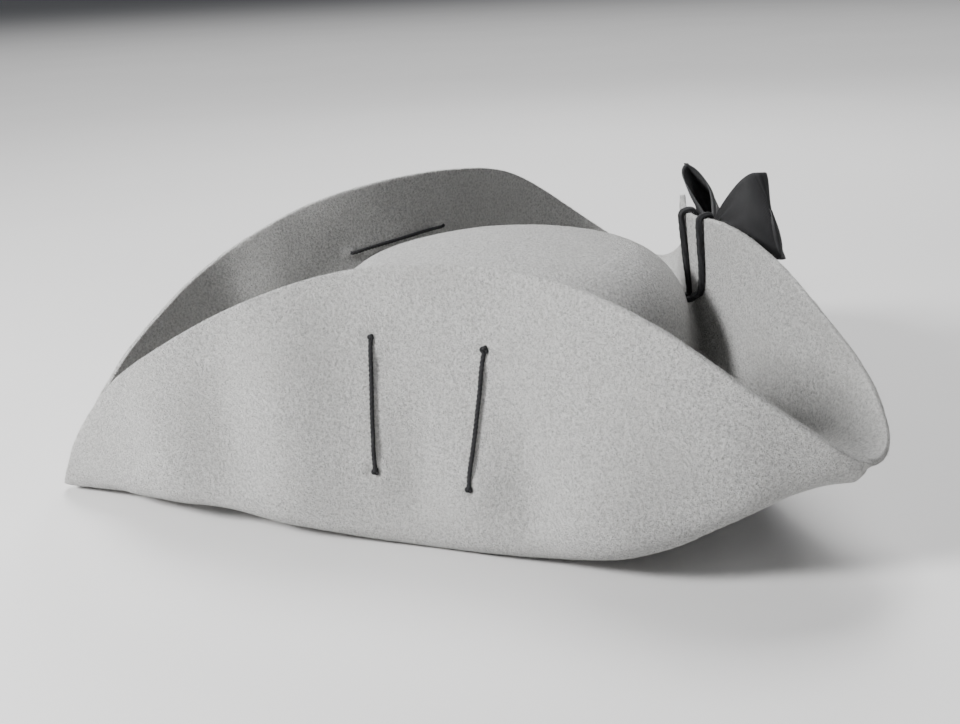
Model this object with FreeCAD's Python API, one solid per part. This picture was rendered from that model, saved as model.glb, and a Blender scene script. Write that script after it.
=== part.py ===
"""Three-cornered felt hat: felt body, sweatband, side laces, back tie and ribbon bow.

Frame: millimetres, +Z up, origin at the centre of the head opening on the plane the hat rests on.
The front point is toward -Y and the wearer's left is +X.
"Turn" is an angle round the head opening: 0 at the front point, 90 at the wearer's left, 180 at
the back.
"""
import FreeCAD, Part
import math
import os
from FreeCAD import Vector

# ---- driving dimensions ----
FELT = 3.0                  # felt thickness
HEAD_X = 86.5               # half width of the crown outside, at the brim
HEAD_Y = 103.0              # half length of the crown outside, at the brim
CROWN_HEIGHT = 120.0
CROWN_WALL_TILT = 0.107     # how far the crown wall leans in per mm of height
CROWN_SHOULDER_R = 44.0
CROWN_TOP_R = 236.0
SPLIT_Z = 8.0               # height where the crown piece meets the brim piece
REST_DIP = 0.3              # how far the underside is pressed flat where the hat rests
BREAK_ROUND = 5.0           # rounding length where the crown turns into the brim

# Edge of the brim, mid felt, on the wearer's left half: turn, x, y, z.
EDGE = [
    (0, 0, -235, 5), (6, 11, -227, 23), (14, 20, -211, 50), (26, 45, -186, 77),
    (42, 76, -140, 108), (60, 95, -79, 129), (78, 129, -13, 132), (94, 170, 35, 117),
    (106, 188, 71, 90), (114, 190, 96, 71), (120, 184, 114, 60), (126, 170, 129, 58),
    (134, 146, 136, 70), (146, 112, 127, 95), (160, 67, 113, 117), (170, 33, 103, 124),
    (180, 0, 97, 122),
]
# Height of the line where the brim folds up: turn, z.
FOLD_Z = [
    (0, 4.3), (15, 11), (35, 8.5), (60, 1.2), (85, 1.5), (105, 22), (120, 53), (135, 34),
    (155, 4), (180, 1.2),
]
# Rounding length of the fold: turn, length.
FOLD_ROUND = [(0, 25), (60, 14.5), (100, 24), (120, 9), (145, 20), (180, 10)]
SIDE_FOLD_GAP = 35.0        # least distance from the crown to the fold, at each side
SIDE_FOLD_POWER = 1.85      # how fast the fold runs out to the corners
BACK_FOLD_GAP = 11.0        # the same at the back
BACK_FOLD_POWER = 2.6
CORNER_TURN = 120.0         # turn of the left rear corner
CORNER_BLEND = 10.0         # turn over which the fold lines up with a corner

LACE_D = 2.2
LACE_HOLE_D = 3.4
LACE_OFF = 1.2              # clearance of a lace from the felt it lies on
LACE_BEND = 2.2
# Lace holes through a side flap: y, z of front low, front high, rear high and rear low.
LEFT_LACE_HOLES = [(-74, 39), (-71.5, 101), (-25, 99), (-34, 36)]
RIGHT_LACE_HOLES = [(-78, 38), (-79, 93), (-22, 100), (-32, 36)]
KNOT_R = 3.4                # stopper knots inside the crown
TAIL_LEN = 14.0             # cord left over below a stopper knot

BAND_TOP = 28.0             # sweatband: ribbon sewn inside the head opening
BAND_BOTTOM = 8.8          # clear of the joint between crown and brim
BAND_T = 0.9
BAND_GAP = 0.5

TIE_D = 3.4                 # strand of gathered ribbon that ties the back flap to the crown
TIE_HOLE_D = 4.6
TIE_HALF_GAP = 3.6          # half the distance between the two strands
TIE_LEFT_TURN = 175.0       # turns at which the strands cross the edge, each on its own side
TIE_RIGHT_TURN = 177.5
TIE_Z = 78.0                # height of the two holes in the crown's back
TIE_OFF = 0.5
TIE_BEND = 2.1
TIE_REACH = 9.8             # from inside the crown to the gap before the back flap

BOW = Vector(0, 109, 112)   # centre of the bow's knot, on the outside of the back flap
BOW_KNOT = Vector(17, 10, 13)
LOOP_LEN = 56.0
LOOP_END_WIDTH = 34.0
LOOP_ROOT_WIDTH = 10.0
LOOP_DEPTH = 18.0           # how far the loop stands open
LOOP_TILT = 24.0            # degrees up from level
LOOP_YAW = 18.0             # degrees back from straight sideways
RIBBON = 1.6                # thickness of a ribbon solid
TAIL_DROP = 72.0
TAIL_SLANT = 12.0           # a tail's outer edge ends this much higher than its inner edge
TAIL_TOP_WIDTH = 9.0
TAIL_END_WIDTH = 34.0
TAIL_SPLAY = 13.0           # degrees outward from straight down
TAIL_X = 4.9                # middle of a tail's top
TAIL_Y = 112.5              # the tails hang in this plane
HINGE_GAP = 1.6             # from the knot down to the middle of a tail's top
LOOP_GAP = 2.6              # clearance beside the knot for the loops
TIE_END_GAP = 1.8           # from the middle of a strand's end down to the knot

Z_AXIS = Vector(0, 0, 1)


# ---- curves given by a few stations on the left half ----
def ring(stations, mirror_x):
    """Closed smooth curve over the turn 0 to 360, mirrored from the left half."""
    whole = list(stations)
    for station in reversed(stations[1:-1]):
        values = list(station[1:])
        if mirror_x:
            values[0] = -values[0]
        whole.append((360 - station[0], *values))
    points = [Vector(*(list(s[1:]) + [0, 0])[:3]) for s in whole]
    curve = Part.BSplineCurve()
    turns = [float(s[0]) for s in whole] + [360.0]
    curve.interpolate(Points=points, PeriodicFlag=True, Parameters=turns)
    return curve


EDGE_CURVE = ring(EDGE, True)
FOLD_Z_CURVE = ring(FOLD_Z, False)
FOLD_ROUND_CURVE = ring(FOLD_ROUND, False)


def oval(turn, z, inset=0.0):
    """Point of the crown wall's mid felt at a turn and height."""
    lean = CROWN_WALL_TILT * z + FELT / 2 + inset
    a = math.radians(turn)
    return Vector((HEAD_X - lean) * math.sin(a), -(HEAD_Y - lean) * math.cos(a), z)


def outward(turn):
    """Level direction straight out of the crown at a turn."""
    a = math.radians(turn)
    return Vector(math.sin(a) / HEAD_X, -math.cos(a) / HEAD_Y, 0).normalize()


def corner_width(turn):
    foot = oval(turn, 0)
    tip = EDGE_CURVE.value(turn)
    return math.hypot(tip.x - foot.x, tip.y - foot.y)


FRONT_WIDTH = corner_width(0)
REAR_WIDTH = corner_width(CORNER_TURN)


def fold_gap(turn):
    """Level distance from the crown to the fold: least in a flap's middle, all at a corner."""
    if turn <= CORNER_TURN:
        middle = CORNER_TURN / 2
        tip = FRONT_WIDTH if turn < middle else REAR_WIDTH
        far = abs(turn - middle) / middle
        return SIDE_FOLD_GAP + (tip - SIDE_FOLD_GAP) * far ** SIDE_FOLD_POWER
    far = (180 - turn) / (180 - CORNER_TURN)
    return BACK_FOLD_GAP + (REAR_WIDTH - BACK_FOLD_GAP) * far ** BACK_FOLD_POWER


def fold_point(turn):
    """Where the brim folds up: straight out of the crown, or toward the tip near a corner."""
    foot = oval(turn, 0)
    edge = EDGE_CURVE.value(turn)
    to_edge = Vector(edge.x - foot.x, edge.y - foot.y, 0).normalize()
    away = min(turn, abs(turn - CORNER_TURN), CORNER_BLEND) / CORNER_BLEND
    way = outward(turn) * away + to_edge * (1 - away)
    point = foot + way * fold_gap(turn)
    point.z = FOLD_Z_CURVE.value(turn).x
    return point


def ramp(distance, rounding):
    """0 before a corner and the distance after it, rounded off over the corner."""
    if distance <= -rounding:
        return 0.0
    if distance >= rounding:
        return distance
    return (distance + rounding) ** 2 / (4 * rounding)


def brim_mid(turn, part):
    """Mid felt of the brim: part 0 at the crown piece's lower edge, 1 at the brim's raw edge."""
    top = oval(turn, SPLIT_Z)
    foot = oval(turn, FELT / 2 - REST_DIP)
    fold = fold_point(turn)
    edge = EDGE_CURVE.value(turn)
    down, floor, flap = foot - top, fold - foot, edge - fold
    l0, l1, l2 = down.Length, floor.Length, flap.Length
    d0, d1 = down / l0, floor / l1
    d2 = flap / l2 if l2 > 0.01 else d1
    s = part * (l0 + l1 + l2)
    rounding = max(0.01, min(FOLD_ROUND_CURVE.value(turn).x, 0.85 * l2, 0.8 * l1))
    first = ramp(s - l0, BREAK_ROUND)
    second = ramp(s - l0 - l1, rounding)
    return top + d0 * s + (d1 - d0) * first + (d2 - d1) * second


def brim_normal(turn, part):
    """Unit normal of the mid felt: out of the crown, up from the brim and in from a flap."""
    step_t, step_p = 0.25, 0.002
    lo, hi = max(0.0, part - step_p), min(1.0, part + step_p)
    along = brim_mid(turn, hi) - brim_mid(turn, lo)
    t_lo, t_hi = max(0.0, turn - step_t), min(180.0, turn + step_t)
    across = brim_mid(t_hi, part) - brim_mid(t_lo, part)
    if t_lo == 0.0 or t_hi == 180.0:
        across = Vector(1 if t_lo == 0.0 else -1, 0, 0)
    return along.cross(across).normalize()


# ---- felt body ----
def brim_points(side):
    """Grid of points on one face of the left half: side 1 is the top of the brim, -1 under it."""
    near = [0.13 * i / 11 for i in range(11)]
    far = [0.13 + 0.87 * i / 26 for i in range(27)]
    rows = []
    for i in range(73):
        turn = 2.5 * i
        row = []
        for part in near + far:
            point = brim_mid(turn, part) + brim_normal(turn, part) * (side * FELT / 2)
            if part == 0.0:
                point.z = SPLIT_Z
            if i in (0, 72):
                point.x = 0.0
            row.append(point)
        rows.append(row)
    return rows


def end_curves(surface):
    """The four border curves: at the front, at the back, at the crown and at the raw edge."""
    u0, u1, v0, v1 = surface.bounds()
    return surface.uIso(u0), surface.uIso(u1), surface.vIso(v0), surface.vIso(v1)


def flat_end(first, second):
    """Flat face between two curves that lie in the plane x = 0."""
    links = [
        Part.makeLine(first.value(t), second.value(s))
        for t, s in ((first.FirstParameter, second.FirstParameter),
                     (first.LastParameter, second.LastParameter))
    ]
    edges = [first.toShape(), links[0], second.toShape(), links[1]]
    return Part.Face(Part.Wire(Part.__sortEdges__(edges)))


def brim_half():
    """Left half of the brim, closed by a flat face at the front and one at the back."""
    top, under = Part.BSplineSurface(), Part.BSplineSurface()
    top.interpolate(brim_points(1))
    under.interpolate(brim_points(-1))
    pairs = list(zip(end_curves(top), end_curves(under)))
    faces = [top.toShape(), under.toShape()]
    faces += [flat_end(a, b) for a, b in pairs[:2]]
    faces += [Part.makeRuledSurface(a.toShape(), b.toShape()) for a, b in pairs[2:]]
    shell = Part.makeCompound(faces)
    shell.sewShape(0.01)
    return Part.makeSolid(shell.Shells[0])


def mirrored(shape):
    return shape.mirror(Vector(0, 0, 0), Vector(1, 0, 0))


def felt_brim(left_cuts, right_cuts):
    """Brim pressed flat where it rests; the right half is a mirrored left half."""
    table = Part.makeBox(500, 500, 20, Vector(-10, -250, -20))
    half = brim_half().cut(table)
    return half.cut(left_cuts).fuse(mirrored(half.cut(right_cuts)))


def dome(inset):
    """Solid under the crown's surface moved in by an inset, from the split up."""
    radius = HEAD_Y - inset
    foot = Vector(radius - CROWN_WALL_TILT * SPLIT_Z, 0, SPLIT_Z)
    lean = math.atan(CROWN_WALL_TILT)
    wall = Vector(-math.sin(lean), 0, math.cos(lean))
    inward = Vector(-math.cos(lean), 0, -math.sin(lean))
    shoulder_r = CROWN_SHOULDER_R - inset
    top_r = CROWN_TOP_R - inset
    top_centre = Vector(0, 0, CROWN_HEIGHT - CROWN_TOP_R)
    # the shoulder's centre is shoulder_r in from the wall and top_r - shoulder_r from top_centre
    start = foot + inward * shoulder_r - top_centre
    b = start.dot(wall)
    c = start.dot(start) - (top_r - shoulder_r) ** 2
    rise = -b + math.sqrt(b * b - c)
    centre = foot + wall * rise + inward * shoulder_r
    wall_top = foot + wall * rise
    ray = (centre - top_centre).normalize()
    joint = top_centre + ray * top_r
    mid = centre + ((wall_top - centre).normalize() + ray).normalize() * shoulder_r
    apex = top_centre + Z_AXIS * top_r
    half = top_centre + (ray + Z_AXIS).normalize() * top_r
    axis_foot = Vector(0, 0, SPLIT_Z)
    outline = Part.Wire([
        Part.makeLine(axis_foot, foot),
        Part.makeLine(foot, wall_top),
        Part.Arc(wall_top, mid, joint).toShape(),
        Part.Arc(joint, half, apex).toShape(),
        Part.makeLine(apex, axis_foot),
    ])
    round_dome = Part.Face(outline).revolve(Vector(0, 0, 0), Z_AXIS, 360)
    return squeezed(round_dome, (HEAD_X - inset) / (HEAD_Y - inset))


def squeezed(shape, ratio):
    """Round shape made oval: narrower across the head than along it."""
    scale = FreeCAD.Matrix()
    scale.scale(Vector(ratio, 1, 1))
    return shape.transformGeometry(scale)


def felt_crown(left_cuts, right_cuts, tie_cuts):
    shell = dome(0).cut(dome(FELT))
    return shell.cut(left_cuts).cut(mirrored(right_cuts)).cut(tie_cuts)


def sweatband():
    def ring_solid(inset):
        low = HEAD_Y - inset - CROWN_WALL_TILT * BAND_BOTTOM
        high = HEAD_Y - inset - CROWN_WALL_TILT * BAND_TOP
        cone = Part.makeCone(low, high, BAND_TOP - BAND_BOTTOM, Vector(0, 0, BAND_BOTTOM))
        return squeezed(cone, (HEAD_X - inset) / (HEAD_Y - inset))

    outside = FELT + BAND_GAP
    return ring_solid(outside).cut(ring_solid(outside + BAND_T))


# ---- cords ----
def rounded_path(points, radius):
    """Straight runs through the points, joined by tangent arcs."""
    edges = []
    start = points[0]
    for before, corner, after in zip(points, points[1:], points[2:]):
        back = (before - corner).normalize()
        ahead = (after - corner).normalize()
        half = back.getAngle(ahead) / 2
        reach = radius / math.tan(half)
        bisector = (back + ahead).normalize()
        arc_in = corner + back * reach
        arc_out = corner + ahead * reach
        middle = corner + bisector * (radius / math.sin(half) - radius)
        edges.append(Part.makeLine(start, arc_in))
        edges.append(Part.Arc(arc_in, middle, arc_out).toShape())
        start = arc_out
    edges.append(Part.makeLine(start, points[-1]))
    return Part.Wire(edges)


def tube(points, diameter, radius):
    path = rounded_path(points, radius)
    way = (points[1] - points[0]).normalize()
    circle = Part.Wire([Part.Circle(points[0], way, diameter / 2).toShape()])
    solid = path.makePipeShell([circle], True, True)
    expected = math.pi * diameter ** 2 / 4 * path.Length
    print("tube volume / (section x length) = %.3f, length %.1f mm"
          % (solid.Volume / expected, path.Length))
    return solid


def flap_spot(y, z):
    """Turn and part of the left flap's mid felt at a given y and z."""
    turn, part = 60.0, 0.6
    for _ in range(30):
        here = brim_mid(turn, part)
        by_turn = (brim_mid(turn + 0.01, part) - here) * 100
        by_part = (brim_mid(turn, part + 0.0001) - here) * 10000
        det = by_turn.y * by_part.z - by_turn.z * by_part.y
        dy, dz = y - here.y, z - here.z
        turn += (dy * by_part.z - dz * by_part.y) / det
        part += (by_turn.y * dz - by_turn.z * dy) / det
    return turn, part


def flap_side(hole, side):
    """Point beside a lace hole where the cord's middle lies: side 1 toward the crown, -1 outside."""
    turn, part = flap_spot(*hole)
    lift = FELT / 2 + LACE_D / 2 + LACE_OFF
    return brim_mid(turn, part) + brim_normal(turn, part) * (side * lift)


def crown_anchor(outside):
    """Stopper knot's centre inside the crown, straight in from a point outside it."""
    turn = math.degrees(math.atan2(outside.x / HEAD_X, -outside.y / HEAD_Y))
    return oval(turn, outside.z, FELT / 2 + KNOT_R)


def lace_points(holes):
    """A lace's route on the left flap, from one stopper knot to the other."""
    front_low, front_high, rear_high, rear_low = holes
    start, end = flap_side(front_low, -1), flap_side(rear_low, -1)
    return [
        crown_anchor(start), start, flap_side(front_high, -1),
        flap_side(front_high, 1.3), flap_side(rear_high, 1.3),
        flap_side(rear_high, -1), end, crown_anchor(end),
    ]


def lace(points):
    solids = []
    for knot in (points[0], points[-1]):
        tail = Part.makeCylinder(LACE_D / 2, TAIL_LEN, knot, Vector(0, 0, -1))
        solids.append(Part.makeSphere(KNOT_R, knot))
        solids.append(tail)
    return tube(points, LACE_D, LACE_BEND).multiFuse(solids).removeSplitter()


def lace_holes(points):
    """Cutters along the four runs that pass through felt."""
    def cutter(a, b):
        way = b - a
        return Part.makeCylinder(LACE_HOLE_D / 2, way.Length, a, way)

    runs = [(0, 1), (2, 3), (4, 5), (6, 7)]
    solids = [cutter(points[i], points[j]) for i, j in runs]
    return solids[0].multiFuse(solids[1:])


def tie_points(turn):
    """One strand: from inside the crown, up the back flap, over its edge and down to the knot."""
    lift = FELT / 2 + TIE_D / 2 + TIE_OFF
    edge = brim_mid(turn, 1)
    up = (edge - brim_mid(turn, 0.7)).normalize()
    out = brim_normal(turn, 0.95) * -1
    over = edge + up * (TIE_D / 2 + TIE_OFF)
    aside = Vector(TIE_HALF_GAP, 0, 0)
    inside = oval(180, TIE_Z, lift + TIE_OFF) + aside
    return [
        inside,
        inside + Vector(0, TIE_REACH, 0),
        over - out * lift,
        over + out * (lift + TIE_OFF),
        Vector(0, BOW.y - 1.5, BOW.z + BOW_KNOT.z / 2 + TIE_END_GAP) + aside,
    ]


def back_tie():
    left = tie_points(TIE_LEFT_TURN)
    right = [Vector(-p.x, p.y, p.z) for p in tie_points(TIE_RIGHT_TURN)]
    return tube(left[::-1] + right, TIE_D, TIE_BEND)


def tie_holes():
    """Cutters for the two holes in the crown's back."""
    start = tie_points(TIE_LEFT_TURN)[0]
    left = Part.makeCylinder(TIE_HOLE_D / 2, TIE_REACH + TIE_D, start, Vector(0, 1, 0))
    return left.fuse(mirrored(left))


# ---- bow ----
def bow_knot():
    block = Part.makeBox(BOW_KNOT.x, BOW_KNOT.y, BOW_KNOT.z, BOW - BOW_KNOT / 2)
    return block.makeFillet(min(BOW_KNOT.x, BOW_KNOT.y, BOW_KNOT.z) * 0.36, block.Edges)


def bow_loop(side):
    """Hollow band of ribbon: a drop shape in plan, wider at its end than at the knot."""
    root = BOW_KNOT.x / 2 + LOOP_GAP
    r = LOOP_DEPTH / 2
    centre = Vector(LOOP_LEN - r, 0, 0)

    def drop(grow):
        radius = r - RIBBON / 2 + grow
        root_half = 2.2 + grow
        turn = math.acos((radius - root_half) / (centre.x - root))
        top = centre + Vector(radius * math.cos(turn), radius * math.sin(turn), 0)
        low = Vector(top.x, -top.y, 0)
        end = centre + Vector(radius, 0, 0)
        a = Vector(root + RIBBON / 2 - grow, root_half, 0)
        b = Vector(a.x, -a.y, 0)
        outline = Part.Wire([
            Part.makeLine(b, low),
            Part.Arc(low, end, top).toShape(),
            Part.makeLine(top, a),
            Part.makeLine(a, b),
        ])
        outline.translate(Vector(0, 0, -LOOP_END_WIDTH / 2))
        return Part.Face(outline).extrude(Vector(0, 0, LOOP_END_WIDTH))

    band = drop(RIBBON / 2).cut(drop(-RIBBON / 2))
    wedge = Part.makePolygon([
        Vector(0, -LOOP_LEN, -LOOP_ROOT_WIDTH / 2), Vector(LOOP_LEN, -LOOP_LEN, -LOOP_END_WIDTH / 2),
        Vector(LOOP_LEN, -LOOP_LEN, LOOP_END_WIDTH / 2), Vector(0, -LOOP_LEN, LOOP_ROOT_WIDTH / 2),
        Vector(0, -LOOP_LEN, -LOOP_ROOT_WIDTH / 2),
    ])
    loop = band.common(Part.Face(wedge).extrude(Vector(0, 2 * LOOP_LEN, 0)))
    loop.rotate(Vector(0, 0, 0), Vector(0, 0, 1), LOOP_YAW)
    loop.rotate(Vector(0, 0, 0), Vector(0, 1, 0), -LOOP_TILT)
    if side < 0:
        loop = mirrored(loop)
    loop.translate(BOW)
    return loop


def bow_tail(side):
    """Flat end of ribbon that hangs from the knot and widens to a slanted cut."""
    outline = Part.makePolygon([
        Vector(-TAIL_TOP_WIDTH / 2, 0, 0), Vector(TAIL_TOP_WIDTH / 2, 0, 0),
        Vector(TAIL_END_WIDTH / 2, 0, TAIL_SLANT - TAIL_DROP),
        Vector(-TAIL_END_WIDTH / 2, 0, -TAIL_DROP), Vector(-TAIL_TOP_WIDTH / 2, 0, 0),
    ])
    tail = Part.Face(outline).extrude(Vector(0, RIBBON, 0))
    tail.rotate(Vector(0, 0, 0), Vector(0, 1, 0), -TAIL_SPLAY)
    tail.translate(Vector(TAIL_X, TAIL_Y, BOW.z - BOW_KNOT.z / 2 - HINGE_GAP))
    return tail if side > 0 else mirrored(tail)


def main():
    os.makedirs("parts", exist_ok=True)
    left_route = lace_points(LEFT_LACE_HOLES)
    right_route = lace_points(RIGHT_LACE_HOLES)
    left_cuts, right_cuts = lace_holes(left_route), lace_holes(right_route)
    nodes = {
        "felt_brim": felt_brim(left_cuts, right_cuts),
        "felt_crown": felt_crown(left_cuts, right_cuts, tie_holes()),
        "sweatband": sweatband(),
        "left_lace": lace(left_route),
        "right_lace": mirrored(lace(right_route)),
        "back_tie": back_tie(),
        "bow_knot": bow_knot(),
        "bow_loop_left": bow_loop(1),
        "bow_loop_right": bow_loop(-1),
        "bow_tail_left": bow_tail(1),
        "bow_tail_right": bow_tail(-1),
    }
    for name, shape in nodes.items():
        box = shape.optimalBoundingBox()
        print("%-16s valid %s solids %d volume %.0f box %.1f..%.1f %.1f..%.1f %.1f..%.1f" % (
            name, shape.isValid(), len(shape.Solids), shape.Volume,
            box.XMin, box.XMax, box.YMin, box.YMax, box.ZMin, box.ZMax))
        shape.exportStep("parts/%s.step" % name)


main()
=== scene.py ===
"""Three-cornered felt hat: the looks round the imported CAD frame.

The felt body follows the same formula as the CAD brim and crown, in millimetres, and is turned
into metres when its mesh is made. "Turn" is an angle round the head opening: 0 at the front
point, 90 at the wearer's left, 180 at the back. "Part" runs from 0 at the crown to 1 at the raw
edge of the brim.
"""

import math
import random

import bpy
import numpy as np
from mathutils import Matrix, Vector, noise


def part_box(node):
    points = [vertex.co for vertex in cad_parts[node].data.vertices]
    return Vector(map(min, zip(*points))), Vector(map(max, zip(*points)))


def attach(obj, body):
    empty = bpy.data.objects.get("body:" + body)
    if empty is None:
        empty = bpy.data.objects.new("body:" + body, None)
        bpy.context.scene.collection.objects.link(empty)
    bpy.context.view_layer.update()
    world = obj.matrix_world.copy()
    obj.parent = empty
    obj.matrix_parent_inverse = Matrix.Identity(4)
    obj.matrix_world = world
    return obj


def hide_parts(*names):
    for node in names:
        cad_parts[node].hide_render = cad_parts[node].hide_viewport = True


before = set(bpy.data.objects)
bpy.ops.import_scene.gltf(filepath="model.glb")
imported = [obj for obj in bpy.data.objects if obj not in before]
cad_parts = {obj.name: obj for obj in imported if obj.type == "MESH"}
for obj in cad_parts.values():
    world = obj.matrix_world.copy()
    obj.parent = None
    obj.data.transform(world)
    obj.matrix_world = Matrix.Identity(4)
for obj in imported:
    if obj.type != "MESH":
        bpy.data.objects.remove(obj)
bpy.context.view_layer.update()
MM = 0.001

# ---- the CAD part's driving dimensions, in millimetres ----
FELT = 3.0
HEAD_X, HEAD_Y = 86.5, 103.0
CROWN_HEIGHT = 120.0
CROWN_WALL_TILT = 0.107
CROWN_SHOULDER_R = 44.0
CROWN_TOP_R = 236.0
SPLIT_Z = 8.0
REST_DIP = 0.3
BREAK_ROUND = 5.0
EDGE = [
    (0, 0, -235, 5), (6, 11, -227, 23), (14, 20, -211, 50), (26, 45, -186, 77),
    (42, 76, -140, 108), (60, 95, -79, 129), (78, 129, -13, 132), (94, 170, 35, 117),
    (106, 188, 71, 90), (114, 190, 96, 71), (120, 184, 114, 60), (126, 170, 129, 58),
    (134, 146, 136, 70), (146, 112, 127, 95), (160, 67, 113, 117), (170, 33, 103, 124),
    (180, 0, 97, 122),
]
FOLD_Z = [
    (0, 4.3), (15, 11), (35, 8.5), (60, 1.2), (85, 1.5), (105, 22), (120, 53), (135, 34),
    (155, 4), (180, 1.2),
]
FOLD_ROUND = [(0, 25), (60, 14.5), (100, 24), (120, 9), (145, 20), (180, 10)]
SIDE_FOLD_GAP, SIDE_FOLD_POWER = 35.0, 1.85
BACK_FOLD_GAP, BACK_FOLD_POWER = 11.0, 2.6
CORNER_TURN, CORNER_BLEND = 120.0, 10.0

LACE_D = 2.2
# Lace holes through each side flap, hand 1 left: y, z of front low, front high, rear high, rear low.
LACE_HOLES = {
    1: [(-74, 39), (-71.5, 101), (-25, 99), (-34, 36)],
    -1: [(-78, 38), (-79, 93), (-22, 100), (-32, 36)],
}
KNOT_R = 3.4
TAIL_LEN = 14.0

# The band starts lower here than in the CAD part, where it stops short of the joint in the felt.
BAND_TOP, BAND_BOTTOM, BAND_GAP, BAND_T = 28.0, 4.0, 0.5, 0.9

TIE_D = 3.4
TIE_HALF_GAP = 3.6
TIE_Z = 78.0
TIE_TURNS = {1: 174.0, -1: 179.2}   # where each strand crosses the edge, on its own side

BOW = np.array((0, 109.0, 112.0))
BOW_KNOT = np.array((17.0, 10.0, 13.0))

# ---- dimensions that only the looks have, in millimetres ----
PUCKER_DEPTH, PUCKER_R = 1.3, 2.2           # felt drawn in at a lace hole
SWELL_HEIGHT, SWELL_R, SWELL_AT = 0.7, 2.6, 5.5    # ring of felt pushed up round it

RIBBON_T = 0.55             # thickness of the bow's ribbon
PINCH_HALF = 4.2            # half width of a loop where the knot gathers it
TAIL_TOP_HALF = 4.3         # half width of a tail just under the knot
TAIL_SPREAD = 12.0          # how much wider each half of a tail is at its end
TAIL_DROP = 74.0
TAIL_X = 5.0                # a tail's distance from the middle, under the knot
TAIL_GAP = 0.6              # gap between the knot and a tail

EDGE_FIBRES = 5200
FIBRE_HALF_WIDTH = 0.035
LEAST_FIBRE_Z = 0.05        # keeps the fibres above the floor

STITCH_STEP = 2.4           # turn from one sweatband stitch to the next
STITCH_TURN = 1.5           # turn that one stitch covers
STITCH_R = 0.28
STITCH_INSET = 2.0          # distance of each row of stitches from the ribbon's edge
STITCH_OFF = 0.55           # how far the thread's middle stands off the ribbon
BAND_MEAN_R = 94.0          # turns an angle into a length along the ribbon, for its weave


# ---- curves and surfaces of the felt ----
class Ring:
    """Closed smooth curve over the turn, through stations of the left half and their mirror."""

    def __init__(self, stations, mirror_x):
        rows = [list(map(float, s)) for s in stations]
        for s in reversed(rows[1:-1]):
            values = s[1:]
            if mirror_x:
                values = [-values[0]] + values[1:]
            rows.append([360 - s[0]] + values)
        table = np.array(rows)
        self.turns = np.append(table[:, 0], 360.0)
        self.values = np.vstack([table[:, 1:], table[:1, 1:]])
        n = len(table)
        h = np.diff(self.turns)
        slope = np.diff(self.values, axis=0) / h[:, None]
        system, right = np.zeros((n, n)), np.zeros((n, self.values.shape[1]))
        for i in range(n):
            before, after = h[i - 1], h[i]
            system[i, i] = 2 * (before + after)
            system[i, i - 1] = before
            system[i, (i + 1) % n] = after
            right[i] = 6 * (slope[i] - slope[i - 1])
        bend = np.linalg.solve(system, right)
        self.bend = np.vstack([bend, bend[:1]])

    def __call__(self, turn):
        turn = np.asarray(turn, float)
        i = np.clip(np.searchsorted(self.turns, turn, side="right") - 1, 0, len(self.turns) - 2)
        h = (self.turns[i + 1] - self.turns[i])[..., None]
        a = (self.turns[i + 1] - turn)[..., None] / h
        b = 1 - a
        line = a * self.values[i] + b * self.values[i + 1]
        curve = (a ** 3 - a) * self.bend[i] + (b ** 3 - b) * self.bend[i + 1]
        return line + curve * h ** 2 / 6


edge_ring = Ring(EDGE, True)
fold_z_ring = Ring(FOLD_Z, False)
fold_round_ring = Ring(FOLD_ROUND, False)


def unit(v):
    """Vectors scaled to a length of 1."""
    return v / np.maximum(np.linalg.norm(v, axis=-1, keepdims=True), 1e-9)


def oval(turn, z, inset=0.0):
    """Point of the crown wall's mid felt at a turn and height."""
    turn, z = np.broadcast_arrays(np.asarray(turn, float), np.asarray(z, float))
    lean = CROWN_WALL_TILT * z + FELT / 2 + inset
    a = np.radians(turn)
    return np.stack([(HEAD_X - lean) * np.sin(a), -(HEAD_Y - lean) * np.cos(a), z], -1)


def outward(turn):
    """Level unit direction square to the head opening."""
    a = np.radians(turn)
    return unit(np.stack([np.sin(a) / HEAD_X, -np.cos(a) / HEAD_Y, np.zeros_like(a)], -1))


def level(v):
    """Vectors with their height taken out."""
    return v * np.array([1.0, 1.0, 0.0])


FRONT_WIDTH = np.linalg.norm(level(edge_ring(0.0) - oval(0.0, 0)))
REAR_WIDTH = np.linalg.norm(level(edge_ring(CORNER_TURN) - oval(CORNER_TURN, 0)))


def fold_gap(turn):
    """Level distance from the crown to the line where the brim folds up."""
    middle = CORNER_TURN / 2
    tip = np.where(turn < middle, FRONT_WIDTH, REAR_WIDTH)
    side_far = np.abs(turn - middle) / middle
    side = SIDE_FOLD_GAP + (tip - SIDE_FOLD_GAP) * side_far ** SIDE_FOLD_POWER
    back_far = (180 - turn) / (180 - CORNER_TURN)
    back = BACK_FOLD_GAP + (REAR_WIDTH - BACK_FOLD_GAP) * back_far ** BACK_FOLD_POWER
    return np.where(turn <= CORNER_TURN, side, back)


def fold_point(turn):
    """Point of the line where the brim folds up, before it is rounded."""
    foot = oval(turn, 0)
    to_edge = unit(level(edge_ring(turn) - foot))
    away = np.minimum(np.minimum(turn, np.abs(turn - CORNER_TURN)), CORNER_BLEND) / CORNER_BLEND
    way = outward(turn) * away[..., None] + to_edge * (1 - away[..., None])
    point = foot + way * fold_gap(turn)[..., None]
    point[..., 2] = fold_z_ring(turn)[..., 0]
    return point


def ramp(distance, rounding):
    """0 before a corner and the distance after it, rounded off over the corner."""
    curved = (distance + rounding) ** 2 / (4 * rounding)
    return np.where(distance <= -rounding, 0.0, np.where(distance >= rounding, distance, curved))


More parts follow.
